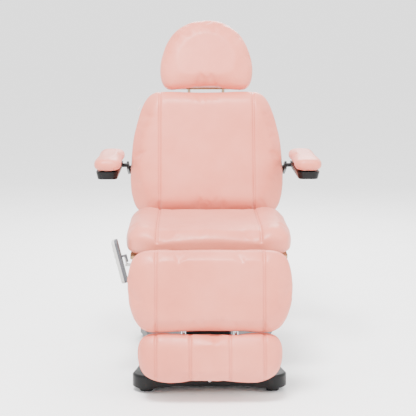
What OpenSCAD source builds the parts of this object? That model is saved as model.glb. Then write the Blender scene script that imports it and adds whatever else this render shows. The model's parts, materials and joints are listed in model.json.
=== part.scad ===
// Powered facial treatment bed, shown with its back raised and its leg rest lowered.
// Millimetres. +Z up, the sitter faces -Y, and the origin is on the floor under the middle of the bed.
// The back and the leg section are drawn lying flat in their own frames, whose origin is their hinge pin,
// and in_back() and in_leg() swing them to the seated pose.

/* [Heights] */
// Top of the seat cushion above the floor, with the column down
seat_h = 550; // [520:1:640]
// Travel of the lifting column
lift_travel = 240; // [120:1:260]
/* [Seat] */
// Width of the seat cushion
seat_w = 590; // [520:1:700]
// Front to back depth of the seat cushion
seat_d = 520; // [440:1:600]
// Thickness of the seat cushion
seat_t = 95; // [70:1:110]
// Front edge of the seat cushion
seat_front = -303; // [-330:1:-270]
/* [Back] */
// Widest part of the back cushion
back_w = 604; // [520:1:700]
// Length of the back cushion
back_l = 495; // [420:1:620]
// Thickness of the back cushion
back_t = 95; // [70:1:110]
// Rest angle of the back above horizontal
back_angle = 72; // [50:1:80]
/* [Headrest] */
// Width of the headrest cushion
head_w = 370; // [300:1:420]
// Height of the headrest cushion
head_l = 285; // [240:1:340]
// Thickness of the headrest cushion
head_t = 92; // [60:1:110]
// Travel of the headrest rails
head_travel = 90; // [40:1:100]
/* [Leg rest] */
// Width of the leg cushion
leg_w = 564; // [500:1:680]
// Length of the leg cushion
leg_l = 278; // [240:1:340]
// Thickness of the leg and foot cushions
leg_t = 90; // [70:1:100]
// Rest angle of the leg section below horizontal
leg_angle = 78; // [60:1:84]
// Width of the foot cushion
foot_w = 490; // [420:1:640]
// Length of the foot cushion
foot_l = 168; // [140:1:200]
// Travel of the foot extension
foot_travel = 120; // [60:1:130]
/* [Armrests] */
// Width of an arm pad
arm_w = 100; // [80:1:120]
// Length of an arm pad
arm_l = 400; // [320:1:440]
// Thickness of an arm pad
arm_t = 50; // [40:1:60]
// Top of the arm pads above the floor
arm_h = 772; // [740:1:800]
// Gap between the back cushion and an arm pad
arm_gap = 20; // [14:1:40]
/* [Base] */
// Width of the base
base_w = 538; // [460:1:640]
// Length of the base
base_l = 850; // [760:1:960]
// Height of the moulded base cover
base_t = 46; // [40:1:60]
// Height of a levelling foot below the cover
foot_h = 17; // [12:1:25]
// Diameter of a levelling foot
foot_d = 44; // [36:1:56]
/* [Column] */
// Outside width of the fixed stage of the column
col_w = 170; // [150:1:200]
// Wall of each stage
col_wall = 4; // [3:0.5:5]
// Gap between one stage and the next
col_gap = 5; // [4:0.5:8]
/* [Hardware] */
// Steel plate thickness of hinge lugs
lug_t = 8; // [6:1:10]
// Radius of the hinge pins
pin_r = 8; // [6:0.5:9]
// Running clearance round pins and rods
run_c = 0.05; // [0.02:0.01:0.1]
// Board under each cushion
board_t = 12; // [9:1:18]
// Square frame tube
tube = 30; // [25:1:36]
// Wall of the frame tube
tube_wall = 2.5; // [2:0.5:3]
// Radius of the headrest and foot rails
rail_r = 8; // [7:0.5:10]
/* [Hand control] */
// Length of the hand control
ctl_l = 156; // [130:1:180]
// Width of the hand control
ctl_w = 58; // [48:1:66]
// Thickness of the hand control
ctl_t = 20; // [16:1:26]
// Lean of the hand control away from the seat
ctl_lean = 14; // [0:1:20]
/* [Hidden] */
PINK = [0.91, 0.76, 0.72];
BLACK = [0.07, 0.07, 0.08];
STEEL = [0.62, 0.63, 0.65];
GREY = [0.75, 0.76, 0.76];
DARK = [0.3, 0.31, 0.31];
skin_gap = 0.4;                       // air between soft pieces of different bodies
// heights of the seat, from the cushion down
seat_board_z = seat_h - seat_t - board_t;
seat_frame_z = seat_board_z - tube;   // underside of the seat frame
seat_rear = seat_front + seat_d;
// back section: its pin stands behind the seat, half way up the cushion
back_pivot = [seat_rear + 42, seat_h - 55];
back_face = 45;                       // height of the cushion's face above the pin
back_start = 26;                      // clear length between the pin and the cushion
back_board_n = back_face - back_t - board_t;
back_frame_n = back_board_n - tube;
// leg section: its pin is on the seat frame, in front of the seat
leg_pivot = [seat_front - 75, seat_frame_z + tube / 2];
leg_face = 115;
leg_start = -68;
leg_end = leg_start + leg_l;
leg_cushion_n = leg_face - leg_t;
leg_board_n = leg_cushion_n - board_t;
foot_start = leg_end + 4;
foot_end = foot_start + foot_l;
// headrest
head_start = back_start + back_l + 6;
head_n = back_face + 8;
head_board_n = head_n - head_t - 10;
head_pin_a = head_start + head_l / 2 - 30;
head_pin_n = head_board_n - 14;
rail_n = back_frame_n - 2 - rail_r;
rail_x = 70;
rail_len = 330;
// base and column
base_top = foot_h + base_t;
frame_t = 10;
foot_at = [base_w / 2 - 47, base_l / 2 - 50];
base_r = 62;                          // plan corners of the cover
end_waist = 26;                       // how far its ends and sides draw in
side_waist = 40;
end_r = 900;
side_r = 1500;
bolt_r = 4.5;                         // clearance of the column bolts
bolt_at = col_w / 2 - 14;
mid_w = col_w - 2 * col_wall - 2 * col_gap;
inner_w = mid_w - 2 * col_wall - 2 * col_gap;
col_plate_t = 8;
col_h = seat_frame_z - col_plate_t - base_top - 4;
col_y = -20;
// hinge lugs
lug_x = 196;                          // inner face of the fixed lugs
lug_boss = pin_r + 8;
leg_boss = 12;
// actuators, in the plane y-z
rod_r = 9;
back_lever = [-78, -104];             // rod pin in the back's frame, along and square to it
leg_lever = [-62, -64];               // rod pin in the leg section's frame
cross_front = seat_front + 25;        // cross tubes of the seat frame
cross_motor = seat_front + 140;
cross_rear = seat_rear - 60;
back_act_base = [cross_motor, seat_frame_z - 28];
leg_act_base = [cross_rear, seat_frame_z - 40];
act_pin_r = 5;
window_r = 10;                        // the rod pins run in windows that take up the arc of the levers
back_window = 26;
leg_window = 20;
act_x = 125;                          // the actuators run on either side of the column
rail_in = 180;                        // middle of the seat frame's side rails
// armrests
arm_inner = back_w / 2 + arm_gap;
arm_x = arm_inner + arm_w / 2;
tray_t = 28;
arm_pad_z = arm_h - arm_t;
arm_pivot_z = arm_pad_z - tray_t / 2;
arm_back_y = seat_front + 662;
arm_pivot_y = arm_back_y - 46;
// hand control hangs on the seat's left side
ctl_x = -seat_w / 2 - 13;
ctl_y = seat_front + 56;
ctl_z = seat_frame_z + 26;
ctl_lip = 5;

function turned(p, a) = [p[0] * cos(a) - p[1] * sin(a), p[0] * sin(a) + p[1] * cos(a)];
function from_to(a, b) = atan2(b[1] - a[1], b[0] - a[0]);
function inwards(q, l) = q * (1 - l / norm(q));

module in_back() { translate([0, back_pivot[0], back_pivot[1]]) rotate([back_angle, 0, 0]) children(); }
module in_leg() { translate([0, leg_pivot[0], leg_pivot[1]]) rotate([leg_angle, 0, 0]) children(); }
module both() { for (s = [0, 1]) mirror([s, 0, 0]) children(); }
module box(x, y, z) { translate([x[0], y[0], z[0]]) cube([x[1] - x[0], y[1] - y[0], z[1] - z[0]]); }
// rectangular tube along Y
module tube_y(x, y0, y1, z, w = tube, h = tube) {
    difference() {
        box([x - w / 2, x + w / 2], [y0, y1], [z, z + h]);
        box([x - w / 2 + tube_wall, x + w / 2 - tube_wall], [y0 - 1, y1 + 1], [z + tube_wall, z + h - tube_wall]);
    }
}
// rectangular tube along X
module tube_x(x0, x1, y, z, w = tube, h = tube) {
    difference() {
        box([x0, x1], [y - w / 2, y + w / 2], [z, z + h]);
        box([x0 - 1, x1 + 1], [y - w / 2 + tube_wall, y + w / 2 - tube_wall], [z + tube_wall, z + h - tube_wall]);
    }
}
// soft pad: an outline of circles [x, y, r], mirrored in X, with rolled edges
module pad(discs, z0, t, roll = 22) {
    hull() for (d = discs, s = [-1, 1]) {
        translate([s * d[0], d[1], z0 + roll]) cylinder(r = d[2], h = t - 2 * roll, $fn = 32);
        translate([s * d[0], d[1], z0]) cylinder(r = d[2] - roll * 0.7, h = t, $fn = 32);
    }
}
module plate(discs, z0, t, inset) {
    hull() for (d = discs, s = [-1, 1]) translate([s * d[0], d[1], z0]) cylinder(r = d[2] - inset, h = t, $fn = 32);
}
// outlines of the cushions
seat_discs = [[seat_w / 2 - 70, seat_rear - 70, 70], [seat_w / 2 - 55, seat_front + 55, 55]];
back_discs = [[back_w / 2 - 85, back_start + 80, 80], [back_w / 2 - 150, back_start + back_l * 0.38, 150],
    [back_w / 2 - 102, back_start + back_l * 0.645, 90], [back_w / 2 - 114, back_start + back_l - 60, 60]];
head_discs = [[head_w / 2 - 70, head_start + 60, 60], [head_w / 2 - 115, head_start + 117, 115],
    [head_w / 2 - 165, head_start + head_l - 140, 140]];
leg_discs = [[leg_w / 2 - 75, -leg_start - 75, 75], [leg_w / 2 - 100, -leg_end + 100, 100]];
foot_discs = [[foot_w / 2 - 45, -foot_start - 45, 45], [foot_w / 2 - foot_l / 2, -foot_end + foot_l / 2, foot_l / 2]];

// ---------- base ----------
module base_plan(grow) {
    difference() {
        hull() for (x = [-1, 1], y = [-1, 1])
            translate([x * (base_w / 2 - base_r), y * (base_l / 2 - base_r)]) circle(r = base_r + grow, $fn = 64);
        for (s = [-1, 1]) translate([0, s * (base_l / 2 + end_r - end_waist - grow)]) circle(r = end_r, $fn = 200);
        for (s = [-1, 1]) translate([s * (base_w / 2 + side_r - side_waist - grow), 0]) circle(r = side_r, $fn = 200);
    }
}
module base_cover() color(BLACK) difference() {
    union() {
        difference() {
            translate([0, 0, foot_h]) linear_extrude(base_t) base_plan(0);
            translate([0, 0, foot_h - 1]) linear_extrude(base_t - 3) base_plan(-4);
        }
        // posts that stand on the steel frame
        for (x = [-1, 1], y = [-1, 1]) translate([x * (foot_at[0] - 32), y * (foot_at[1] - 60), foot_h + frame_t])
            cylinder(r = 10, h = base_t - frame_t - 2, $fn = 32);
    }
    box([-col_w / 2 - 1, col_w / 2 + 1], [col_y - col_w / 2 - 1, col_y + col_w / 2 + 1], [foot_h, base_top + 1]);
    translate([0, -base_l / 2 + end_waist - 6, foot_h + base_t * 0.5]) rotate([90, 0, 0]) cylinder(r = 4, h = 20, center = true, $fn = 32);
    box([-16, 16], [base_l / 2 - 40, base_l / 2], [foot_h + 9, foot_h + 33]);
}

module base_frame() color(DARK) difference() {
    union() {
        both() box([foot_at[0] - 60, foot_at[0] - 5], [-foot_at[1], foot_at[1]], [foot_h, foot_h + frame_t]);
        for (s = [-1, 1]) box([-foot_at[0], foot_at[0]], [s * foot_at[1] - 14, s * foot_at[1] + 14], [foot_h, foot_h + frame_t]);
        for (x = [-1, 1], y = [-1, 1]) translate([x * foot_at[0], y * foot_at[1], foot_h]) cylinder(r = 24, h = frame_t, $fn = 64);
        box([-foot_at[0] + 20, foot_at[0] - 20], [col_y - 110, col_y + 110], [foot_h, foot_h + frame_t]);
    }
    for (x = [-1, 1], y = [-1, 1]) translate([x * foot_at[0], y * foot_at[1], foot_h - 1]) cylinder(r = 5 + run_c * 2, h = frame_t + 2, $fn = 32);
    for (x = [-1, 1], y = [-1, 1]) translate([x * bolt_at, col_y + y * bolt_at, foot_h - 1]) cylinder(r = bolt_r, h = frame_t + 2, $fn = 32);
}
module levelling_feet() color(BLACK) for (x = [-1, 1], y = [-1, 1]) translate([x * foot_at[0], y * foot_at[1], 0]) {
    cylinder(r1 = foot_d / 2 - 1, r2 = foot_d / 2, h = 4, $fn = 48);
    translate([0, 0, 4]) cylinder(r = foot_d / 2, h = foot_h - 4 - skin_gap, $fn = 48);
    cylinder(r = 5, h = foot_h + frame_t + 8, $fn = 32);
}
module base_front_cap() color("silver") translate([0, -base_l / 2 + end_waist - 2.5, foot_h + base_t * 0.5]) rotate([90, 0, 0]) {
    cylinder(r = 6, h = 3.5, $fn = 32);
    translate([0, 0, -9]) cylinder(r = 3.8, h = 9, $fn = 32);
}
module mains_inlet() color(DARK) difference() {
    union() {
        box([-15, 15], [base_l / 2 - 60, base_l / 2 - end_waist], [foot_h + 10, foot_h + 32]);
        box([-20, 20], [base_l / 2 - end_waist, base_l / 2 - 22], [foot_h + 5, foot_h + 37]);
    }
    box([-11, 11], [base_l / 2 - 50, base_l / 2 - 20], [foot_h + 13, foot_h + 29]);
}
// ---------- lifting column ----------
module stage(w, z0, h) difference() {
    translate([0, col_y, z0]) linear_extrude(h) square([w, w], center = true);
    translate([0, col_y, z0 - 1]) linear_extrude(h + 2) square([w - 2 * col_wall, w - 2 * col_wall], center = true);
}
module column_outer() color(BLACK) difference() {
    union() {
        stage(col_w, foot_h + frame_t + 8, base_top - foot_h - frame_t - 8 + col_h - 8);
        translate([0, col_y, foot_h + frame_t]) linear_extrude(8) square([col_w, col_w], center = true);
    }
    for (x = [-1, 1], y = [-1, 1]) translate([x * bolt_at, col_y + y * bolt_at, foot_h]) cylinder(r = bolt_r, h = frame_t + 20, $fn = 32);
}
module column_bolts() color(STEEL) for (x = [-1, 1], y = [-1, 1]) translate([x * bolt_at, col_y + y * bolt_at, 0]) {
    translate([0, 0, foot_h + 1]) cylinder(r = 4, h = frame_t + 7, $fn = 32);
    translate([0, 0, foot_h + frame_t + 8]) cylinder(r = 7.5, h = 5, $fn = 6);
}
module column_middle() color(STEEL) stage(mid_w, foot_h + frame_t + 16, base_top - foot_h - frame_t - 16 + col_h - 4);
module column_inner() color(STEEL) {
    stage(inner_w, foot_h + frame_t + 24, seat_frame_z - col_plate_t - foot_h - frame_t - 24);
    translate([0, col_y, seat_frame_z - col_plate_t]) linear_extrude(col_plate_t) square([190, 220], center = true);
}
// ---------- seat ----------
// flat link in the plane y-z, from p to its round end at q, from x to x + t
module link(p, q, r, x, t) {
    cross_hole(r, x, t, q);
    translate([x, p[0], p[1]]) rotate([from_to(p, q), 0, 0]) translate([0, 0, -r]) cube([t, norm(q - p), 2 * r]);
}
module cross_hole(r, x, l, p) { translate([x, p[0], p[1]]) rotate([0, 90, 0]) cylinder(r = r, h = l, $fn = 48); }
module seat_frame() color(DARK) difference() {
    union() {
        for (s = [-1, 1]) tube_y(s * rail_in, seat_front + 10, seat_rear - 10, seat_frame_z);
        for (y = [cross_front, cross_motor, col_y - 90, col_y + 90, cross_rear])
            tube_x(-rail_in + tube / 2, rail_in - tube / 2, y, seat_frame_z);
        both() {
            box([rail_in + tube / 2, lug_x + lug_t], [seat_rear - 110, back_pivot[0] + lug_boss], [seat_frame_z, seat_frame_z + tube]);
            box([rail_in + tube / 2, lug_x + lug_t], [back_pivot[0] - lug_boss, back_pivot[0] + lug_boss], [seat_frame_z + tube, back_pivot[1]]);
            translate([rail_in + tube / 2, back_pivot[0], back_pivot[1]]) rotate([0, 90, 0]) cylinder(r = lug_boss, h = lug_x + lug_t - rail_in - tube / 2, $fn = 64);
            box([rail_in + tube / 2, lug_x + lug_t], [leg_pivot[0], seat_front + 90], [leg_pivot[1] - leg_boss, leg_pivot[1] + leg_boss]);
            translate([rail_in + tube / 2, leg_pivot[0], leg_pivot[1]]) rotate([0, 90, 0]) cylinder(r = leg_boss, h = lug_x + lug_t - rail_in - tube / 2, $fn = 64);
        }
        for (s = [-1, 1]) {
            box([act_x + (s < 0 ? -18 : 12), act_x + (s < 0 ? -12 : 18)], [cross_motor - 14, cross_motor + 14], [back_act_base[1] - 12, seat_frame_z]);
            box([-act_x + (s < 0 ? -18 : 12), -act_x + (s < 0 ? -12 : 18)], [cross_rear - 14, cross_rear + 14], [leg_act_base[1] - 12, seat_frame_z]);
        }
    }
    both() cross_hole(pin_r + run_c, rail_in, 60, back_pivot);
    both() cross_hole(pin_r + run_c, rail_in, 60, leg_pivot);
    cross_hole(act_pin_r + run_c, act_x - 30, 60, back_act_base);
    cross_hole(act_pin_r + run_c, -act_x - 30, 60, leg_act_base);
}
module seat_board() color("burlywood") plate(seat_discs, seat_board_z, board_t, 16);
module seat_cushion() color(PINK) pad(seat_discs, seat_board_z + board_t, seat_t, 26);
// pin with a head outside and a clip inside, through a lug and the moving plate beside it
module pin_pair(p) both() {
    cross_hole(pin_r, lug_x - 3, 2 * lug_t + 8, p);
    cross_hole(pin_r + 3, lug_x + 2 * lug_t + 2, 3, p);
}
module back_hinge_pins() color(STEEL) pin_pair(back_pivot);
module leg_hinge_pins() color(STEEL) pin_pair(leg_pivot);
module actuator_pins() color(STEEL) {
    for (e = [[act_x, back_act_base], [-act_x, leg_act_base]]) {
        cross_hole(act_pin_r, e[0] - 20, 40, e[1]);
        cross_hole(act_pin_r + 2.5, e[0] + 18, 2, e[1]);
    }
}
module control_box() color(BLACK) box([-55, 55], [col_y + 112, cross_rear - tube / 2 - 1], [seat_frame_z - 34, seat_board_z]);

// ---------- back ----------
plate_x = lug_x + lug_t + 1;          // moving hinge plates, outside the fixed lugs
back_rail_x = plate_x - tube / 2;
back_end = back_start + back_l;
arm_local = turned([arm_pivot_y - back_pivot[0], arm_pivot_z - back_pivot[1]], -back_angle);
guide_at = [back_end - 60, back_end - 205];
module back_frame() color(DARK) in_back() difference() {
    union() {
        both() {
            tube_y(back_rail_x, 20, back_end - 30, back_frame_n);
            box([plate_x, plate_x + lug_t], [-lug_boss, 90], [back_frame_n, back_frame_n + tube]);
            box([plate_x, plate_x + lug_t], [-lug_boss, lug_boss], [back_frame_n + tube, 0]);
            cross_boss();
        }
        for (a = [38, guide_at[0], guide_at[1]]) tube_x(-back_rail_x + tube / 2, back_rail_x - tube / 2, a, back_frame_n);
        lever([30, back_frame_n + tube / 2 - 2], back_lever, back_window, act_x);
    }
    both() cross_hole(pin_r + run_c, plate_x - 5, 30, [0, 0]);
    window(back_lever, back_window, act_x);
}
module cross_boss() { translate([plate_x, 0, 0]) rotate([0, 90, 0]) cylinder(r = lug_boss, h = lug_t, $fn = 64); }
// pair of lever plates about x: from the cross tube at p to the window at q
module lever(p, q, l, x) for (t = [x - 18, x + 12]) {
    link(p, q, window_r + 4, t, 6);
    link(q, inwards(q, l), window_r + 4, t, 6);
}
// window in a lever: from q, a length l towards the hinge pin
module window(q, l, x) {
    cross_hole(window_r, x - 30, 60, q);
    link(q, inwards(q, l), window_r, x - 30, 60);
}
module back_board() color("dimgray") in_back() plate(back_discs, back_board_n, board_t, 14);
module back_cushion() color(PINK) in_back() pad(back_discs, back_face - back_t, back_t, 30);
module back_side_tag() color("white") in_back()
    translate([-back_w / 2 + 38.6, back_end - 62, back_face - 46]) rotate([0, 0, -29]) box([-1.4, 0], [-20, 4], [0, 12]);
module headrest_guides() color(BLACK) in_back() difference() {
    for (a = guide_at, s = [-1, 1])
        box([s * rail_x - 16, s * rail_x + 16], [a - 22, a + 22], [rail_n - rail_r - 6, back_frame_n]);
    for (s = [-1, 1]) translate([s * rail_x, back_end, rail_n]) rotate([90, 0, 0]) cylinder(r = rail_r + run_c, h = 400, $fn = 48);
}
module headrest_rails() color("silver") in_back() {
    for (s = [-1, 1]) translate([s * rail_x, head_pin_a + 14, rail_n]) rotate([90, 0, 0]) cylinder(r = rail_r, h = rail_len, $fn = 48);
    difference() {
        union() {
            box([-rail_x, rail_x], [head_pin_a - 14, head_pin_a + 14], [rail_n - 5, rail_n + 5]);
            for (s = [-1, 1]) {
                box([s * 44 - 4, s * 44 + 4], [head_pin_a - 12, head_pin_a + 12], [rail_n, head_pin_n]);
                cross_hole(12, s * 44 - 4, 8, [head_pin_a, head_pin_n]);
            }
        }
        cross_hole(5 + run_c, -60, 120, [head_pin_a, head_pin_n]);
    }
}
module headrest_hinge_pin() color(STEEL) in_back() {
    cross_hole(5, -52, 104, [head_pin_a, head_pin_n]);
    cross_hole(8, 49, 3, [head_pin_a, head_pin_n]);
}
module headrest_bracket() color(BLACK) in_back() difference() {
    union() {
        box([-38, 38], [head_pin_a - 30, head_pin_a + 30], [head_board_n - 4, head_board_n]);
        box([-38, 38], [head_pin_a - 11, head_pin_a + 11], [head_pin_n, head_board_n - 4]);
        cross_hole(11, -38, 76, [head_pin_a, head_pin_n]);
    }
    cross_hole(5 + run_c, -60, 120, [head_pin_a, head_pin_n]);
}
module headrest_board() color("dimgray") in_back() plate(head_discs, head_board_n, 10, 16);
module headrest_cushion() color(PINK) in_back() pad(head_discs, head_n - head_t, head_t, 30);

// ---------- armrests ----------
arm_plate_x = arm_inner - 14;
module arm_brackets() color(BLACK) {
    in_back() both() {
        box([back_rail_x + tube / 2, arm_plate_x], [arm_local[0] - 16, arm_local[0] + 16], [back_frame_n, back_frame_n + 20]);
        box([arm_plate_x, arm_plate_x + 8], [arm_local[0] - 16, arm_local[0] + 16], [back_frame_n, arm_local[1]]);
        cross_hole(16, arm_plate_x, 8, arm_local);
        cross_hole(pin_r, arm_plate_x + 8, 26, arm_local);
    }
}
// an armrest is drawn on the right, from its rear end forwards
module arm_tray() translate([arm_x, arm_back_y, 0]) difference() {
    hull() for (s = [-1, 1]) {
        translate([s * (arm_w / 2 - 30), -arm_l + 38, arm_pad_z - tray_t]) cylinder(r = 22, h = tray_t, $fn = 32);
        translate([s * (arm_w / 2 - 26), -26, arm_pad_z - tray_t]) cylinder(r = 18, h = tray_t, $fn = 32);
    }
    translate([0, 0, arm_pad_z - tray_t - 1]) linear_extrude(tray_t - 5)
        translate([-arm_w / 2 + 20, -arm_l + 34]) square([arm_w - 40, arm_l - 150]);
    cross_hole(pin_r + run_c, -arm_w / 2 - 5, 40, [arm_pivot_y - arm_back_y, arm_pivot_z]);
}
module arm_cushion() translate([arm_x, arm_back_y, 0]) hull() for (s = [-1, 1], z = [0, 1]) {
    translate([s * (arm_w / 2 - 34), -arm_l + 34, arm_pad_z + (z ? 0 : 12)]) cylinder(r = z ? 28 : 34, h = z ? arm_t : arm_t - 24, $fn = 32);
    translate([s * (arm_w / 2 - 24), -24, arm_pad_z + (z ? 0 : 12)]) cylinder(r = z ? 18 : 24, h = z ? arm_t : arm_t - 24, $fn = 32);
}
module arm_tray_right() color(BLACK) arm_tray();
module arm_cushion_right() color(PINK) arm_cushion();
module arm_tray_left() color(BLACK) mirror([1, 0, 0]) arm_tray();
module arm_cushion_left() color(PINK) mirror([1, 0, 0]) arm_cushion();

// ---------- leg rest and foot extension ----------
leg_frame_n = leg_board_n - tube;
foot_rail_x = 90;
foot_rail_n = leg_frame_n + tube / 2;
guide_r = rail_r + 5;
module leg_frame() color(DARK) in_leg() difference() {
    union() {
        both() {
            tube_y(back_rail_x, -(leg_end - 40), -20, leg_frame_n);
            box([plate_x, plate_x + lug_t], [-90, 0], [leg_frame_n, leg_board_n]);
            translate([plate_x, 0, 0]) rotate([0, 90, 0]) cylinder(r = leg_boss, h = lug_t, $fn = 64);
            translate([foot_rail_x, -44, foot_rail_n]) rotate([90, 0, 0]) cylinder(r = guide_r, h = leg_end - 74, $fn = 48);
        }
        for (a = [62, leg_end - 60]) tube_x(-back_rail_x + tube / 2, back_rail_x - tube / 2, -a, leg_frame_n);
        // lever plates about the rod, as wide as the window and its walls
        for (x = [-act_x - 18, -act_x + 12])
            box([x, x + 6], [leg_lever[0] - 16, leg_lever[0] + 29], [leg_lever[1] - 15, leg_frame_n + 6]);
    }
    both() cross_hole(pin_r + run_c, plate_x - 5, 30, [0, 0]);
    both() translate([foot_rail_x, -40, foot_rail_n]) rotate([90, 0, 0]) cylinder(r = rail_r + run_c, h = leg_l + 40, $fn = 48);
    window(leg_lever, leg_window, -act_x);
}
module leg_board() color("dimgray") in_leg() plate([for (d = leg_discs) [d[0], d[1] + (d[1] > 0 ? -16 : 0), d[2]]], leg_board_n, board_t, 14);
module leg_cushion() color(PINK) in_leg() pad(leg_discs, leg_cushion_n, leg_t, 30);
module foot_rails() color("silver") in_leg() {
    both() translate([foot_rail_x, -(leg_end - foot_travel - 60), foot_rail_n]) rotate([90, 0, 0])
        cylinder(r = rail_r, h = foot_end - 50 - (leg_end - foot_travel - 60), $fn = 48);
    box([-foot_rail_x - 20, foot_rail_x + 20], [-(foot_end - 50), -(foot_end - 80)], [foot_rail_n - 5, leg_board_n]);
}
module foot_board() color("dimgray") in_leg() plate(foot_discs, leg_board_n, board_t, 14);
module foot_cushion() color(PINK) in_leg() pad(foot_discs, leg_cushion_n, leg_t, 30);

// ---------- linear actuators ----------
back_rod_tip = back_pivot + turned(back_lever, back_angle);
leg_rod_tip = leg_pivot + turned(leg_lever, leg_angle);
module in_actuator(x, p, q) { translate([x, p[0], p[1]]) rotate([from_to(p, q), 0, 0]) children(); }
// [end of the body tube, inner end of the rod], along each actuator from its lower pin
back_act = [315, 240];
leg_act = [300, 95];
module actuator_body(x, p, q, run) in_actuator(x, p, q) difference() {
    union() {
        cross_hole(11, -11, 22, [0, 0]);
        box([-11, 11], [0, 20], [-9, 9]);
        box([-19, 19], [18, 74], [-21, 21]);
        translate([0, 74, 0]) rotate([-90, 0, 0]) cylinder(r = 17, h = run[0] - 74, $fn = 48);
    }
    cross_hole(act_pin_r + run_c, -20, 40, [0, 0]);
    translate([0, 80, 0]) rotate([-90, 0, 0]) cylinder(r = rod_r + run_c, h = run[0], $fn = 48);
}
module actuator_rod(x, p, q, run) in_actuator(x, p, q) {
    l = norm(q - p);
    translate([0, run[1], 0]) rotate([-90, 0, 0]) cylinder(r = rod_r, h = l - 3 - run[1], $fn = 48);
    cross_hole(11, -10, 20, [l, 0]);
    cross_hole(act_pin_r, -22, 44, [l, 0]);
}
module back_actuator() color(BLACK) actuator_body(act_x, back_act_base, back_rod_tip, back_act);
module back_actuator_rod() color("silver") actuator_rod(act_x, back_act_base, back_rod_tip, back_act);
module leg_actuator() color(BLACK) actuator_body(-act_x, leg_act_base, leg_rod_tip, leg_act);
module leg_actuator_rod() color("silver") actuator_rod(-act_x, leg_act_base, leg_rod_tip, leg_act);

// ---------- hand control ----------
ctl_low = -ctl_l / 2 - 4;
ctl_split = -ctl_t * 0.45;            // where the two halves of the case meet
module in_ctl() { translate([ctl_x, ctl_y, ctl_z]) rotate([0, -ctl_lean, 0]) children(); }
module hand_control_bracket() color(GREY) {
    box([ctl_x + 12, -lug_x - lug_t], [ctl_y - 13, ctl_y + 13], [seat_frame_z + 4, seat_frame_z + 10]);
    in_ctl() box([10, 14], [-12, 12], [-20, 8]);
}
module ctl_outline(grow, x0, x1) {
    translate([x0, 0, ctl_low + ctl_l / 2]) rotate([0, 90, 0]) linear_extrude(x1 - x0) difference() {
        square([ctl_l + 2 * grow, ctl_w + 2 * grow], center = true);
        for (a = [-1, 1], b = [-1, 1]) translate([a * (ctl_l / 2 + grow), b * (ctl_w / 2 + grow)]) difference() {
            square([28, 28], center = true);
            translate([-a * 14, -b * 14]) circle(r = 14, $fn = 48);
        }
    }
}
button_rows = [44, 22, 0];            // bed, back, leg, above the middle of the case
button_r = 7;
button_travel = 1.2;
module button_place(row, side) { translate([-ctl_t, side * 13, ctl_low + ctl_l / 2 + button_rows[row]]) rotate([0, 90, 0]) children(); }
module hand_control_front() color(GREY) in_ctl() difference() {
    ctl_outline(0, -ctl_t, ctl_split);
    ctl_outline(-3, -ctl_t + 3, ctl_split + 1);
    for (row = [0:2], side = [-1, 1]) button_place(row, side) translate([0, 0, -1]) cylinder(r = button_r + 0.3, h = 10, $fn = 48);
}
module hand_control_rear() color(DARK) in_ctl() {
    difference() {
        ctl_outline(0, ctl_split, 0);
        ctl_outline(-3, ctl_split - 1, -3);
    }
    box([0, 20], [-9, 9], [9, 14]);
    box([16, 20], [-9, 9], [-12, 9]);
}
module button(row, side) color(DARK) in_ctl() button_place(row, side) {
    translate([0, 0, -1.5]) cylinder(r = button_r, h = 6, $fn = 48);
    translate([0, 0, 3.4]) cylinder(r = button_r + 1.2, h = 1.1, $fn = 48);
}
module button_bed_up() button(0, -1);
module button_bed_down() button(0, 1);
module button_back_up() button(1, -1);
module button_back_down() button(1, 1);
module button_leg_up() button(2, -1);
module button_leg_down() button(2, 1);

base_cover();
base_frame();
levelling_feet();
base_front_cap();
mains_inlet();
column_outer();
column_bolts();
column_middle();
column_inner();
seat_frame();
seat_board();
seat_cushion();
control_box();
back_hinge_pins();
leg_hinge_pins();
hand_control_bracket();
back_frame();
back_board();
back_cushion();
back_side_tag();
headrest_guides();
headrest_rails();
headrest_hinge_pin();
headrest_bracket();
headrest_board();
headrest_cushion();
arm_brackets();
arm_tray_left();
arm_cushion_left();
arm_tray_right();
arm_cushion_right();
leg_frame();
leg_board();
leg_cushion();
foot_rails();
foot_board();
foot_cushion();
back_actuator();
back_actuator_rod();
leg_actuator();
leg_actuator_rod();
actuator_pins();
hand_control_front();
hand_control_rear();
button_back_up();
button_back_down();
button_leg_up();
button_leg_down();
button_bed_up();
button_bed_down();
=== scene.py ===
"""Looks of a powered facial treatment bed: padded sections in pale pink PU leather on a black base.

Everything is in metres, in the frame's own axes: +Z up, the sitter faces -Y. The back and the leg section are
shaped lying flat in their own frames, whose origin is their hinge, and swung into place at the end.
"""

import json
import math

import bmesh
import bpy
from mathutils import Matrix, Vector
from mathutils.bvhtree import BVHTree


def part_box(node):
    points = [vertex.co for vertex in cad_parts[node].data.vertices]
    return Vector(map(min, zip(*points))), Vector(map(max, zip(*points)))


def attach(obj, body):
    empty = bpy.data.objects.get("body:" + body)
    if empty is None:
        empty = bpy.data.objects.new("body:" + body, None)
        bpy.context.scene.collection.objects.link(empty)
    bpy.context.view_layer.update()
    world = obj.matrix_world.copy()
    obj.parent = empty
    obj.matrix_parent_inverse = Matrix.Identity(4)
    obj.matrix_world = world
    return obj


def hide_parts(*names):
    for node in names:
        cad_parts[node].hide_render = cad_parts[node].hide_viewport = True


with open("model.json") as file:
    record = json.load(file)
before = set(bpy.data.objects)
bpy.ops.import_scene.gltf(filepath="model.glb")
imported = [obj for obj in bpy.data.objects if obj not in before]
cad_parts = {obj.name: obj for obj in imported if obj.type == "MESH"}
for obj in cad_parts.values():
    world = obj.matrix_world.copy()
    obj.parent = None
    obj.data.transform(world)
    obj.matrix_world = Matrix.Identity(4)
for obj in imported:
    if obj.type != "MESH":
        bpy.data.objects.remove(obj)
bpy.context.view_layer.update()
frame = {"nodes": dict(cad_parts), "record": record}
MM = 0.001
joints = {j["name"]: j for j in frame["record"]["behaviour"]["joints"]}


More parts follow.
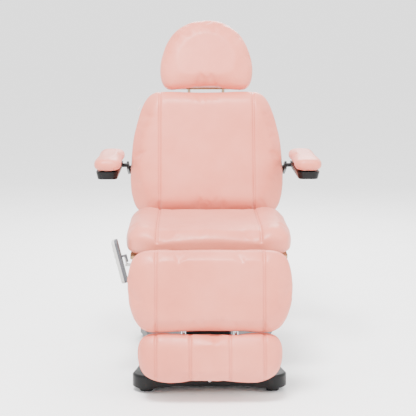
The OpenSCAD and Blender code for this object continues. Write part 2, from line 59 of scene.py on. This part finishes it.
# ---------- camera, light and floor ----------
def make_camera():
    """A long lens in front of the bed, a little above the seat and a touch to its side."""
    data = bpy.data.cameras.new("camera")
    data.lens = 108.2
    data.sensor_width = 36.0
    camera = bpy.data.objects.new("camera", data)
    bpy.context.collection.objects.link(camera)
    camera.location = (-0.068, -4.6, 1.30)
    camera.rotation_euler = (math.radians(90 - 8.84), 0, math.radians(-0.85))
    bpy.context.scene.camera = camera


def area_light(name, place, aim, size, power):
    """A soft square lamp at place that shines at aim."""
    data = bpy.data.lights.new(name, "AREA")
    data.energy = power
    data.size = size
    lamp = bpy.data.objects.new(name, data)
    bpy.context.collection.objects.link(lamp)
    lamp.location = place
    lamp.rotation_euler = (Vector(aim) - Vector(place)).to_track_quat("-Z", "Y").to_euler()


def make_light():
    """White surroundings, a large lamp high in front, a weaker one at the right and one behind."""
    world = bpy.data.worlds.new("studio")
    world.use_nodes = True
    world.node_tree.nodes["Background"].inputs["Color"].default_value = (1, 1, 1, 1)
    world.node_tree.nodes["Background"].inputs["Strength"].default_value = 2.1
    bpy.context.scene.world = world
    area_light("key", (-0.6, -2.0, 4.4), (0, 0, 0.6), 1.3, 430)
    area_light("fill", (2.6, -2.2, 1.8), (0, 0, 0.6), 1.6, 50)
    area_light("back", (0.4, 3.0, 2.8), (0, 0, 0.7), 1.8, 160)


def deselect():
    bpy.ops.object.select_all(action="DESELECT")


def make_floor():
    deselect()
    bpy.ops.mesh.primitive_plane_add(size=60, location=(0, 0, 0))
    floor = bpy.context.object
    floor.name = "floor"
    floor.data.materials.append(painted_floor())


# ---------- materials ----------
def linear(hex_colour):
    """sRGB hex to the linear colour that a shader takes."""
    parts = [int(hex_colour[i:i + 2], 16) / 255 for i in (1, 3, 5)]
    return tuple(c / 12.92 if c <= 0.04045 else ((c + 0.055) / 1.055) ** 2.4 for c in parts) + (1.0,)


def add(tree, kind, settings=None, inputs=None):
    """A new node with its settings, and its inputs set to values or linked to other nodes' outputs."""
    node = tree.nodes.new(kind)
    for key, value in (settings or {}).items():
        setattr(node, key, value)
    for key, value in (inputs or {}).items():
        if isinstance(value, bpy.types.NodeSocket):
            tree.links.new(value, node.inputs[key])
        else:
            node.inputs[key].default_value = value
    return node


def ramp(tree, factor, stops):
    """A colour ramp with (place, colour) stops."""
    node = add(tree, "ShaderNodeValToRGB", inputs={"Fac": factor})
    band = node.color_ramp.elements
    band[0].position, band[0].color = stops[0]
    band[1].position, band[1].color = stops[-1]
    for place, colour in stops[1:-1]:
        band.new(place).color = colour
    return node.outputs["Color"]


def grey(value):
    return (value, value, value, 1.0)


def new_material(name, **sockets):
    """A named material with constant sockets set. Returns it with its tree, shader and coordinates."""
    made = bpy.data.materials.new(name)
    made.use_nodes = True
    tree = made.node_tree
    shader = tree.nodes["Principled BSDF"]
    for key, value in sockets.items():
        shader.inputs[key.replace("_", " ")].default_value = value
    place = add(tree, "ShaderNodeTexCoord").outputs["Object"]
    return made, tree, shader, place


def noise(tree, place, size_mm, detail=3.0, rough=0.5):
    """Noise whose blobs are about size_mm across."""
    node = add(tree, "ShaderNodeTexNoise", inputs={
        "Vector": place, "Scale": 1000 / size_mm, "Detail": detail, "Roughness": rough})
    return node.outputs["Fac"]


def bump(tree, shader, height, depth_mm, strength=1.0, under=None):
    """Relief of depth_mm on the shader, over an earlier relief if there is one."""
    inputs = {"Height": height, "Distance": depth_mm * MM, "Strength": strength}
    if under is not None:
        inputs["Normal"] = under
    node = add(tree, "ShaderNodeBump", inputs=inputs)
    tree.links.new(node.outputs["Normal"], shader.inputs["Normal"])
    return node.outputs["Normal"]


def pu_leather(name, deep, mid, light):
    """Soft PU leather: a satin skin with pebbled grain, slow creases and faint changes of tone."""
    made, tree, shader, place = new_material(
        name, Coat_Weight=0.06, Coat_Roughness=0.35, Sheen_Weight=0.12, Sheen_Roughness=0.5)
    tone = noise(tree, place, 160, 4.0, 0.55)
    tree.links.new(ramp(tree, tone, [(0.3, linear(deep)), (0.5, linear(mid)), (0.7, linear(light))]),
                   shader.inputs["Base Color"])
    # real grain is under a millimetre wide: drawn 2.6 mm wide so that it shows
    grain = add(tree, "ShaderNodeTexVoronoi", {"feature": "SMOOTH_F1"},
                {"Vector": place, "Scale": 1000 / 2.6})
    shine = noise(tree, place, 18, 4.0, 0.6)
    tree.links.new(ramp(tree, shine, [(0.3, grey(0.40)), (0.7, grey(0.52))]), shader.inputs["Roughness"])
    slow = bump(tree, shader, noise(tree, place, 60, 2.0, 0.4), 1.2, 0.35)
    bump(tree, shader, grain.outputs["Distance"], 0.25, 0.45, slow)
    return made


def moulded_plastic(name, colour, worn, roughness, spark_mm=0.9):
    """Injection-moulded ABS: fine spark-eroded texture, handled patches a little smoother."""
    made, tree, shader, place = new_material(name, IOR=1.5, Specular_IOR_Level=0.22)
    tone, shine = noise(tree, place, 70, 5.0, 0.6), noise(tree, place, 24, 4.0)
    tree.links.new(ramp(tree, tone, [(0.35, linear(colour)), (0.75, linear(worn))]),
                   shader.inputs["Base Color"])
    tree.links.new(ramp(tree, shine, [(0.3, grey(roughness - 0.05)), (0.7, grey(roughness + 0.07))]),
                   shader.inputs["Roughness"])
    bump(tree, shader, noise(tree, place, spark_mm, 2.0), 0.06, 0.6)
    return made


def powder_coat(name, colour, light):
    """Powder-coated steel: the slight orange peel of baked powder."""
    made, tree, shader, place = new_material(name, IOR=1.5, Specular_IOR_Level=0.25)
    tree.links.new(ramp(tree, noise(tree, place, 40, 4.0), [(0.35, linear(colour)), (0.7, linear(light))]),
                   shader.inputs["Base Color"])
    tree.links.new(ramp(tree, noise(tree, place, 12, 3.0), [(0.3, grey(0.38)), (0.7, grey(0.5))]),
                   shader.inputs["Roughness"])
    bump(tree, shader, noise(tree, place, 2.2, 1.0), 0.12, 0.6)
    return made


def plated_steel(name, colour, smooth, rough, brushed_mm):
    """Plated steel: a metal mirror broken by fine drawing marks."""
    made, tree, shader, place = new_material(name, Metallic=1.0)
    shader.inputs["Base Color"].default_value = linear(colour)
    drawn = add(tree, "ShaderNodeMapping", inputs={"Vector": place, "Scale": (1.0, 1.0, 0.08)})
    marks = noise(tree, drawn.outputs["Vector"], brushed_mm, 4.0, 0.6)
    tree.links.new(ramp(tree, marks, [(0.3, grey(smooth)), (0.7, grey(rough))]), shader.inputs["Roughness"])
    bump(tree, shader, marks, 0.02, 0.4)
    return made


def plywood(name):
    """Birch plywood: long pale grain with darker rings."""
    made, tree, shader, place = new_material(name)
    drawn = add(tree, "ShaderNodeMapping", inputs={"Vector": place, "Scale": (1.0, 0.12, 0.12)})
    rings = noise(tree, drawn.outputs["Vector"], 14, 6.0, 0.6)
    browns = [(0.3, linear("#8A6B48")), (0.55, linear("#B8956B")), (0.8, linear("#CBAA80"))]
    tree.links.new(ramp(tree, rings, browns), shader.inputs["Base Color"])
    tree.links.new(ramp(tree, rings, [(0.3, grey(0.62)), (0.7, grey(0.75))]), shader.inputs["Roughness"])
    bump(tree, shader, rings, 0.2, 0.4)
    return made


def soft_rubber(name):
    """Moulded rubber: dull black with dusty patches."""
    made, tree, shader, place = new_material(name, IOR=1.5)
    dust = [(0.4, linear("#161617")), (0.8, linear("#2A2A2B"))]
    tree.links.new(ramp(tree, noise(tree, place, 20, 5.0), dust), shader.inputs["Base Color"])
    tree.links.new(ramp(tree, noise(tree, place, 9, 3.0), [(0.3, grey(0.7)), (0.7, grey(0.85))]),
                   shader.inputs["Roughness"])
    bump(tree, shader, noise(tree, place, 1.5, 2.0), 0.1, 0.5)
    return made


def woven_tape(name):
    """White woven polyester tape: crossed ribs a millimetre apart."""
    made, tree, shader, place = new_material(name, Sheen_Weight=0.2)
    ribs = add(tree, "ShaderNodeTexWave", {"bands_direction": "Z"}, {"Vector": place, "Scale": 160.0})
    tree.links.new(ramp(tree, ribs.outputs["Fac"], [(0.0, linear("#DCDDE0")), (1.0, linear("#F4F5F7"))]),
                   shader.inputs["Base Color"])
    tree.links.new(ramp(tree, noise(tree, place, 3, 2.0), [(0.3, grey(0.75)), (0.7, grey(0.9))]),
                   shader.inputs["Roughness"])
    bump(tree, shader, ribs.outputs["Fac"], 0.15, 0.6)
    return made


def painted_floor():
    """Seamless white studio floor: matt paint with the faintest roller texture."""
    made, tree, shader, place = new_material("white studio paint", Specular_IOR_Level=0.1)
    whites = [(0.3, linear("#FDFDFD")), (0.7, linear("#FFFFFF"))]
    tree.links.new(ramp(tree, noise(tree, place, 300, 3.0), whites), shader.inputs["Base Color"])
    shader.inputs["Roughness"].default_value = 0.9
    bump(tree, shader, noise(tree, place, 4, 2.0), 0.1, 0.2)
    return made


MATERIALS = {
    "pink_pu_leather": pu_leather("pale pink PU leather", "#D4715B", "#DB7963", "#E0826D"),
    "black_abs": moulded_plastic("black moulded ABS", "#050506", "#09090A", 0.4),
    "light_grey_abs": moulded_plastic("light grey moulded ABS", "#BFC0BE", "#CFCFCC", 0.45),
    "dark_grey_abs": moulded_plastic("dark grey moulded ABS", "#55565A", "#64656A", 0.5),
    "black_steel": powder_coat("black powder-coated steel", "#0B0B0D", "#121214"),
    "zinc_steel": plated_steel("zinc-plated steel", "#A9ABAE", 0.28, 0.45, 6),
    "chrome": plated_steel("chromed steel", "#D5D7DA", 0.06, 0.14, 10),
    "plywood": plywood("birch plywood"),
    "rubber": soft_rubber("black moulded rubber"),
    "tag_fabric": woven_tape("white woven tape"),
}
THREAD = pu_leather("pink polyester thread", "#B25743", "#B9604C", "#C06A57")


def dress_cad_nodes():
    """Every CAD node takes the finish of its slot."""
    for part in frame["record"]["subparts"]:
        node = frame["nodes"][part["node"]]
        node.data.materials.clear()
        node.data.materials.append(MATERIALS[part["material_slot"]])


# ---------- shaping cushions ----------
def hinge_frame(joint_name):
    """Matrix from a flat section's own frame to its place: its joint's pin and the angle it rests at."""
    joint = joints[joint_name]
    turn = Matrix.Rotation(math.radians(joint["range_deg"][1]), 4, "X")
    return Matrix.Translation(Vector(joint["pos_m"])) @ turn


def local_box(nodes, to_world):
    """Lowest and highest corner of CAD nodes in a section's own frame."""
    back = to_world.inverted()
    points = [back @ v.co for n in nodes for v in frame["nodes"][n].data.vertices]
    return (Vector([min(p[i] for p in points) for i in range(3)]),
            Vector([max(p[i] for p in points) for i in range(3)]))


def closed_curve(half, step=0.008):
    """Smooth symmetric outline through (half width, y) points, from the middle of one end to the other's."""
    points = [Vector((x, y)) for x, y in half] + [Vector((-x, y)) for x, y in reversed(half[1:-1])]
    count, curve = len(points), []
    for i in range(count):
        a, b, c, d = (points[(i + k) % count] for k in (-1, 0, 1, 2))
        steps = max(2, round((c - b).length / step))
        for k in range(steps):
            t = k / steps
            curve.append(0.5 * (2 * b + (c - a) * t + (2 * a - 5 * b + 4 * c - d) * t * t
                                + (3 * b - a - 3 * c + d) * t ** 3))
    return curve


def block(name, curve, low, high, roll, under=0.018):
    """Closed pad on a curve from low to high: a rolled face edge of (inwards, deep), a tighter one below."""
    half_x = max(p.x for p in curve)
    y_low, y_high = min(p.y for p in curve), max(p.y for p in curve)
    middle, half_y = (y_low + y_high) / 2, (y_high - y_low) / 2
    steps = 6
    quarter = [k * math.pi / 2 / steps for k in range(steps + 1)]
    levels = [(under * (1 - math.sin(a)), low + under * (1 - math.cos(a))) for a in quarter]
    levels += [(roll[0] * (1 - math.cos(a)), high - roll[1] * (1 - math.sin(a))) for a in quarter]
    mesh = bpy.data.meshes.new(name)
    shape = bmesh.new()
    rings = []
    for inset, z in levels:
        in_x, in_y = 1 - inset / half_x, 1 - inset / half_y
        rings.append([shape.verts.new((p.x * in_x, middle + (p.y - middle) * in_y, z)) for p in curve])
    for a, b in zip(rings, rings[1:]):
        for i in range(len(curve)):
            k = (i + 1) % len(curve)
            shape.faces.new((a[i], a[k], b[k], b[i]))
    shape.faces.new(rings[0])
    shape.faces.new(rings[-1])
    bmesh.ops.recalc_face_normals(shape, faces=shape.faces)
    shape.to_mesh(mesh)
    shape.free()
    pad = bpy.data.objects.new(name, mesh)
    bpy.context.collection.objects.link(pad)
    return pad


def only(piece):
    """Makes a piece the one selected and active object."""
    deselect()
    piece.select_set(True)
    bpy.context.view_layer.objects.active = piece


def swell(pad, voxel, cap):
    """Blows the pad up as stuffed cloth, letting no point move further than cap."""
    only(pad)
    remesh = pad.modifiers.new("skin", "REMESH")
    remesh.mode = "VOXEL"
    remesh.voxel_size = voxel
    bpy.ops.object.modifier_apply(modifier="skin")
    start = [v.co.copy() for v in pad.data.vertices]
    cloth = pad.modifiers.new("stuffing", "CLOTH")
    cloth.settings.use_pressure = True
    cloth.settings.uniform_pressure_force = 4.0
    cloth.settings.effector_weights.gravity = 0.0
    cloth.settings.quality = 4
    cloth.point_cache.frame_start, cloth.point_cache.frame_end = 1, 20
    for number in range(1, 21):
        bpy.context.scene.frame_set(number)
    bpy.ops.object.modifier_apply(modifier="stuffing")
    for vertex, before in zip(pad.data.vertices, start):
        move = vertex.co - before
        if move.length > cap:
            vertex.co = before + move * (cap / move.length)
    bpy.context.scene.frame_set(1)


def fit(pad, low, high, crown):
    """Brings a pad back to its own box, crowned above its face and flat below."""
    points = pad.data.vertices
    old_low = Vector([min(v.co[i] for v in points) for i in range(3)])
    old_high = Vector([max(v.co[i] for v in points) for i in range(3)])
    top = high + Vector((0, 0, crown))
    for vertex in points:
        for i in range(3):
            share = (vertex.co[i] - old_low[i]) / (old_high[i] - old_low[i])
            vertex.co[i] = low[i] + share * (top[i] - low[i])


def smooth_step(value, start, end):
    t = min(1.0, max(0.0, (value - start) / (end - start)))
    return t * t * (3 - 2 * t)


def bell(value, middle, width):
    return math.exp(-((value - middle) / width) ** 2 / 2)


def shape_points(pad, move):
    """Moves each point by what move(point, normal) gives."""
    normals = [v.normal.copy() for v in pad.data.vertices]
    for vertex, normal in zip(pad.data.vertices, normals):
        vertex.co += move(vertex.co, normal)


def subdivide(pad):
    only(pad)
    level = pad.modifiers.new("finer", "SUBSURF")
    level.levels = level.render_levels = 1
    bpy.ops.object.modifier_apply(modifier="finer")


def soften(pad, rounds):
    only(pad)
    smooth = pad.modifiers.new("soften", "SMOOTH")
    smooth.factor = 0.5
    smooth.iterations = rounds
    bpy.ops.object.modifier_apply(modifier="soften")


SEAM_WIDTH = 3.4 * MM
SEAM_DEPTH = 5.0 * MM
STITCH_LENGTH = 5.5 * MM
STITCH_GAP = 2.5 * MM
STITCH_ROW = 4.5 * MM                    # distance of each row of stitches from its seam
THREAD_RADIUS = 0.75 * MM


def groove(pad, seams, edge_level=None):
    """Sinks the seams: lines of constant x on the face, and the boxing seam at one level round the side."""
    def move(point, normal):
        depth = sum(SEAM_DEPTH * bell(point.x, x, SEAM_WIDTH) for x in seams)
        depth *= smooth_step(normal.z, 0.0, 0.35)
        if edge_level is not None:
            beside = 1 - smooth_step(normal.z, 0.75, 0.95)
            depth += SEAM_DEPTH * bell(point.z, edge_level, SEAM_WIDTH) * beside
        return normal * -depth
    shape_points(pad, move)


def stitches(name, pad, seams, y_low, y_high, z_top):
    """Rows of thread on both sides of each seam, laid on the pad's face."""
    tree = BVHTree.FromPolygons([v.co for v in pad.data.vertices], [p.vertices for p in pad.data.polygons])
    shape = bmesh.new()
    sides = 6
    for x in [s + side * STITCH_ROW for s in seams for side in (-1, 1)]:
        y = y_low
        while y + STITCH_LENGTH < y_high:
            ends = [tree.ray_cast(Vector((x, end, z_top + 0.1)), Vector((0, 0, -1)))
                    for end in (y, y + STITCH_LENGTH)]
            y += STITCH_LENGTH + STITCH_GAP
            if any(hit[0] is None or hit[1].z < 0.3 for hit in ends):
                continue
            (a, up, _, _), (b, _, _, _) = ends
            along = (b - a).normalized()
            across = along.cross(up).normalized()
            rise = across.cross(along)
            rings = []
            for share, size, sink in ((0, 0.4, -0.5), (0.2, 1, 0.35), (0.8, 1, 0.35), (1, 0.4, -0.5)):
                centre = a.lerp(b, share) + rise * THREAD_RADIUS * sink
                rings.append([shape.verts.new(
                    centre + THREAD_RADIUS * size * (across * math.cos(k * math.tau / sides)
                                                     + rise * math.sin(k * math.tau / sides)))
                    for k in range(sides)])
            for low, high in zip(rings, rings[1:]):
                for k in range(sides):
                    shape.faces.new((low[k], low[(k + 1) % sides], high[(k + 1) % sides], high[k]))
            shape.faces.new(rings[0])
            shape.faces.new(rings[-1])
    bmesh.ops.recalc_face_normals(shape, faces=shape.faces)
    mesh = bpy.data.meshes.new(name)
    shape.to_mesh(mesh)
    shape.free()
    rows = bpy.data.objects.new(name, mesh)
    bpy.context.collection.objects.link(rows)
    mesh.materials.append(THREAD)
    return rows


def place(piece, to_world, body, slot):
    """Sets a piece made in a section's own frame in its place, smooth, riding on a body."""
    piece.data.transform(to_world)
    for face in piece.data.polygons:
        face.use_smooth = True
    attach(piece, body)


def cushion(name, node, body, to_world, half, roll, crown, cap, voxel=0.006, seams=(), edge=None,
            form=None):
    """One upholstered section: blocked out, swollen, formed, sewn and laid in the room its CAD node keeps."""
    low, high = local_box([node], to_world)
    curve = closed_curve([(x * MM, y * MM) for x, y in half])
    pad = block(name, curve, low.z, high.z, [r * MM for r in roll])
    swell(pad, voxel, cap * MM)
    fit(pad, low, high, crown * MM)
    if form:
        shape_points(pad, lambda point, normal: form(point, low, high))
    soften(pad, 3)
    subdivide(pad)
    groove(pad, seams, None if edge is None else high.z - edge * MM)
    pad.data.materials.append(MATERIALS["pink_pu_leather"])
    rows = stitches(name + "_stitching", pad, seams, low.y, high.y, high.z) if seams else None
    place(pad, to_world, body, "pink_pu_leather")
    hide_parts(node)
    if rows:
        place(rows, to_world, body, "pink_pu_leather")
    return pad


def face_share(point, low, high):
    """How much a point belongs to the face: 0 at the foot of the pad, 1 at its top."""
    return smooth_step(point.z, low.z + 0.3 * (high.z - low.z), high.z)


def seat_form(point, low, high):
    """Raised bolsters outside the seams, and a front edge that dips in front of each thigh."""
    lift = 9 * MM * smooth_step(abs(point.x), 0.165, 0.225)
    front = 1 - smooth_step(point.y, low.y, low.y + 0.11)
    dip = 13 * MM * bell(abs(point.x), 0.135, 0.06) * front
    side = 5 * MM * smooth_step(abs(point.x), 0.2, 0.28) * front
    return Vector((0, 0, (lift - dip - side) * face_share(point, low, high)))


def back_form(point, low, high):
    """Wings that turn back outside the seams."""
    drop = 12 * MM * smooth_step(abs(point.x), 0.19, 0.30)
    return Vector((0, 0, -drop * face_share(point, low, high)))


def foot_form(point, low, high):
    """A soft hump between the two middle seams."""
    hump = 7 * MM * bell(point.x, 0, 0.045) * smooth_step(point.y, low.y + 0.03, high.y)
    reach = 3 * MM * smooth_step(point.y, high.y - 0.04, high.y)
    return Vector((0, hump * 0.4 + reach, hump * face_share(point, low, high)))


def leg_form(point, low, high):
    """The lower edge reaches down to the foot pad."""
    return Vector((0, -3 * MM * (1 - smooth_step(point.y, low.y, low.y + 0.04)), 0))


def make_cushions():
    level = Matrix.Identity(4)
    back, leg = hinge_frame("recline"), hinge_frame("leg_raise")
    cushion("headrest_pad", "headrest_cushion", "headrest", back,
            [(0, 812), (57, 805), (107, 777), (136, 747), (163, 697), (179, 646), (185, 600), (180, 560),
             (163, 535), (130, 527), (0, 527)], (42, 46), 8, 14)
    cushion("back_pad", "back_cushion", "back", back,
            [(0, 521), (150, 521), (205, 517), (240, 490), (267, 431), (291, 343), (300, 260), (302, 165),
             (291, 93), (270, 46), (232, 28), (150, 26), (0, 26)], (62, 52), 8, 14,
            seams=(-0.185, 0.185), form=back_form)
    cushion("seat_pad", "seat_cushion", "seat", level,
            [(0, 217), (150, 217), (230, 215), (272, 195), (290, 140), (295, 40), (295, -120), (290, -225),
             (272, -280), (225, -300), (150, -303), (0, -303)], (46, 40), 4, 12,
            seams=(-0.183, 0.183), form=seat_form)
    cushion("leg_pad", "leg_cushion", "leg", leg,
            [(0, 68), (120, 66), (195, 61), (240, 52), (268, 30), (280, -10), (282, -50), (279, -100),
             (272, -140), (257, -175), (230, -199), (180, -209), (0, -210)], (44, 44), 7, 12,
            seams=(-0.182, 0.182), edge=34, form=leg_form)
    cushion("foot_pad", "foot_cushion", "foot", leg,
            [(0, -214), (120, -215), (190, -218), (225, -228), (241, -250), (245, -282), (240, -317),
             (228, -343), (208, -361), (175, -374), (120, -380), (0, -382)], (46, 48), 6, 12,
            seams=(-0.183, -0.067, 0.067, 0.183), edge=34, form=foot_form)
    for side in ("left", "right"):
        make_arm_pad(side)


def make_arm_pad(side):
    """A long arm pad, shaped about its own middle line and moved out to its tray."""
    node = "arm_cushion_" + side
    low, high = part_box(node)
    middle = (low.x + high.x) / 2
    to_world = Matrix.Translation((middle, 0, 0))
    rear, front = high.y / MM, low.y / MM
    cushion("arm_pad_" + side, node, "arm_" + side, to_world,
            [(0, rear), (22, rear), (40, rear - 10), (47, rear - 34), (49, rear - 120), (50, front + 90),
             (48, front + 34), (38, front + 10), (20, front), (0, front)],
            (26, 24), 5, 7, voxel=0.004)


# ---------- moulded and machined pieces ----------
def edit_select(piece, kind, test):
    """In edit mode, selects the faces or edges of a piece that pass a test."""
    only(piece)
    bpy.ops.object.mode_set(mode="EDIT")
    bpy.ops.mesh.select_mode(type=kind)
    bpy.ops.mesh.select_all(action="DESELECT")
    shape = bmesh.from_edit_mesh(piece.data)
    for item in (shape.faces if kind == "FACE" else shape.edges):
        item.select_set(test(item))
    shape.select_flush_mode()
    bmesh.update_edit_mesh(piece.data)


def leave_edit():
    bpy.ops.object.mode_set(mode="OBJECT")


def cube(name, low, high):
    """A box between two corners, as the start of a piece."""
    deselect()
    size = [h - l for l, h in zip(low, high)]
    bpy.ops.mesh.primitive_cube_add(size=1, location=[(l + h) / 2 for l, h in zip(low, high)])
    piece = bpy.context.object
    piece.name = name
    piece.scale = size
    bpy.ops.object.transform_apply(location=True, rotation=True, scale=True)
    return piece


def modify(piece, kind, **settings):
    """Adds a modifier and applies it at once."""
    only(piece)
    change = piece.modifiers.new(kind.lower(), kind)
    for key, value in settings.items():
        setattr(change, key, value)
    bpy.ops.object.modifier_apply(modifier=change.name)


def finish_piece(piece, slot, body, replaces, angle=35):
    """Gives a hard piece its finish, its smooth edges and the body it rides on."""
    piece.data.materials.clear()
    piece.data.materials.append(MATERIALS[slot])
    only(piece)
    bpy.ops.object.shade_smooth_by_angle(angle=math.radians(angle))
    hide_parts(*replaces)
    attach(piece, body)


def upright(edge):
    return abs(edge.verts[0].co.z - edge.verts[1].co.z) > 1e-5


def make_base_cover():
    """The moulded cover: waisted on all sides, soft at the top edge, its skirt arched between the feet."""
    low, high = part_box("base_cover")
    corner, wall, end_waist, side_waist, arch = 62 * MM, 4 * MM, 26 * MM, 40 * MM, 9 * MM
    cover = cube("base_cover_shell", low, high)
    edit_select(cover, "EDGE", upright)
    bpy.ops.mesh.bevel(offset=corner, segments=14, affect="EDGES", clamp_overlap=False)
    leave_edit()
    long_edge = 0.1
    edit_select(cover, "EDGE", lambda e: not upright(e) and e.calc_length() > long_edge)
    bpy.ops.mesh.subdivide(number_cuts=40)
    leave_edit()
    half_x, half_y = high.x - corner, high.y - corner
    for vertex in cover.data.vertices:
        share_x, share_y = min(1, abs(vertex.co.x) / half_x), min(1, abs(vertex.co.y) / half_y)
        if share_x < 1:
            dent = end_waist * (1 - share_x ** 2)
            vertex.co.y -= math.copysign(dent, vertex.co.y)
            if vertex.co.z < (low.z + high.z) / 2:
                vertex.co.z += arch * (1 - share_x ** 2)
        if share_y < 1:
            vertex.co.x -= math.copysign(side_waist * (1 - share_y ** 2), vertex.co.x)
            if vertex.co.z < (low.z + high.z) / 2:
                vertex.co.z += arch * (1 - share_y ** 2)
    edit_select(cover, "FACE", lambda f: f.normal.z < -0.5)
    bpy.ops.mesh.delete(type="FACE")
    leave_edit()
    edit_select(cover, "EDGE", lambda e: all(v.co.z > high.z - 1e-4 for v in e.verts))
    bpy.ops.mesh.bevel(offset=9 * MM, segments=5, affect="EDGES", clamp_overlap=True)
    leave_edit()
    modify(cover, "SOLIDIFY", thickness=wall, offset=-1)
    finish_piece(cover, "black_abs", "base", ["base_cover"], angle=40)


def make_arm_tray(side):
    """The tray under an arm pad: tapered sides, a lip, and a sole that is hollow between two pads."""
    node = "arm_tray_" + side
    low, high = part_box(node)
    tray = cube(node + "_shell", low, high)
    edit_select(tray, "EDGE", upright)
    bpy.ops.mesh.bevel(offset=20 * MM, segments=8, affect="EDGES", clamp_overlap=False)
    leave_edit()
    edit_select(tray, "FACE", lambda f: f.normal.z < -0.5)
    bpy.ops.transform.resize(value=(0.86, 0.97, 1))
    bpy.ops.mesh.inset(thickness=9 * MM, depth=0)
    bpy.ops.mesh.inset(thickness=2 * MM, depth=-4 * MM)
    leave_edit()
    edit_select(tray, "FACE", lambda f: f.normal.z > 0.5)
    bpy.ops.mesh.inset(thickness=2 * MM, depth=0)
    leave_edit()
    edit_select(tray, "EDGE", lambda e: not upright(e) and all(v.co.z < low.z + 1e-4 for v in e.verts)
                and len(e.link_faces) == 2 and abs(e.link_faces[0].normal.z - e.link_faces[1].normal.z) > 0.5)
    bpy.ops.mesh.bevel(offset=3 * MM, segments=3, affect="EDGES", clamp_overlap=True)
    leave_edit()
    finish_piece(tray, "black_abs", "arm_" + side, [node])


def make_column_shroud():
    """Powder-coated tube of the fixed column stage, with folded corners."""
    low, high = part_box("column_outer")
    tube = cube("column_outer_tube", low, high)
    edit_select(tube, "EDGE", upright)
    bpy.ops.mesh.bevel(offset=9 * MM, segments=6, affect="EDGES", clamp_overlap=True)
    leave_edit()
    edit_select(tube, "FACE", lambda f: abs(f.normal.z) > 0.5)
    bpy.ops.mesh.delete(type="FACE")
    leave_edit()
    modify(tube, "SOLIDIFY", thickness=4 * MM, offset=-1)
    finish_piece(tube, "black_steel", "base", ["column_outer"])


def turned(name, radius, low, high, rim, segments=48):
    """A round piece about Z from low to high, with its top rim rounded."""
    deselect()
    bpy.ops.mesh.primitive_cylinder_add(radius=radius, depth=high - low, vertices=segments,
                                        location=(0, 0, (low + high) / 2))
    piece = bpy.context.object
    piece.name = name
    bpy.ops.object.transform_apply(location=True, rotation=True, scale=True)
    edit_select(piece, "EDGE", lambda e: all(v.co.z > high - 1e-5 for v in e.verts))
    bpy.ops.mesh.bevel(offset=rim, segments=4, affect="EDGES", clamp_overlap=True)
    leave_edit()
    return piece


def make_feet():
    """Four rubber levelling feet, rounded at both rims."""
    low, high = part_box("levelling_feet")
    radius = 23 * MM
    corners = ((low.x, low.y), (high.x, low.y), (low.x, high.y), (high.x, high.y))
    for number, (x, y) in enumerate(corners):
        middle = Matrix.Translation((x - math.copysign(radius, x), y - math.copysign(radius, y), 0))
        foot = turned("levelling_foot_%d" % number, radius - 0.2 * MM, low.z, low.z + 16 * MM, 3 * MM)
        edit_select(foot, "EDGE", lambda e: all(v.co.z < low.z + 1e-5 for v in e.verts))
        bpy.ops.mesh.bevel(offset=1.5 * MM, segments=3, affect="EDGES", clamp_overlap=True)
        leave_edit()
        foot.data.transform(middle)
        finish_piece(foot, "rubber", "base", ["levelling_feet"])


def make_front_cap():
    """The little domed cap of the screw at the front of the cover."""
    low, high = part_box("base_front_cap")
    thick = 3.5 * MM
    cap = turned("base_front_cap_dome", (high.x - low.x) / 2, 0, thick, 2.4 * MM)
    seat = Matrix.Translation((0, low.y + thick, (low.z + high.z) / 2))
    cap.data.transform(seat @ Matrix.Rotation(math.pi / 2, 4, "X"))
    finish_piece(cap, "chrome", "base", ["base_front_cap"], angle=60)


def control_frame():
    """Matrix of the hand control: Z up along its case, -X out of its face."""
    joint = joints["hand_control_lift_off"]
    up = Vector(joint["axis"]).normalized()
    across = Vector((0, 1, 0))
    turn = Matrix((across.cross(up), across, up)).transposed().to_4x4()
    return Matrix.Translation(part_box("hand_control_front")[0]) @ turn


def make_hand_control():
    """The front half of the case, softly rounded, with six domed buttons."""
    to_world = control_frame()
    low, high = local_box(["hand_control_front"], to_world)
    case = cube("hand_control_case", low, high)
    edit_select(case, "EDGE", lambda e: abs(e.verts[0].co.x - e.verts[1].co.x) > 1e-5)
    bpy.ops.mesh.bevel(offset=13 * MM, segments=8, affect="EDGES", clamp_overlap=True)
    leave_edit()
    edit_select(case, "EDGE", lambda e: all(v.co.x < low.x + 1e-5 for v in e.verts))
    bpy.ops.mesh.bevel(offset=4 * MM, segments=5, affect="EDGES", clamp_overlap=True)
    leave_edit()
    case.data.transform(to_world)
    finish_piece(case, "light_grey_abs", "hand_control", ["hand_control_front"])
    for node in [name for name in frame["nodes"] if name.startswith("button_")]:
        low, high = local_box([node], to_world)
        button = turned(node + "_dome", 7 * MM, 0, high.x - low.x, 2 * MM, 32)
        face = Matrix.Translation((high.x, (low.y + high.y) / 2, (low.z + high.z) / 2))
        button.data.transform(to_world @ face @ Matrix.Rotation(-math.pi / 2, 4, "Y"))
        finish_piece(button, "dark_grey_abs", node + "_cap", [node], angle=60)


def build():
    make_camera()
    make_light()
    make_floor()
    dress_cad_nodes()
    make_cushions()
    make_base_cover()
    for side in ("left", "right"):
        make_arm_tray(side)
    make_column_shroud()
    make_feet()
    make_front_cap()
    make_hand_control()


build()
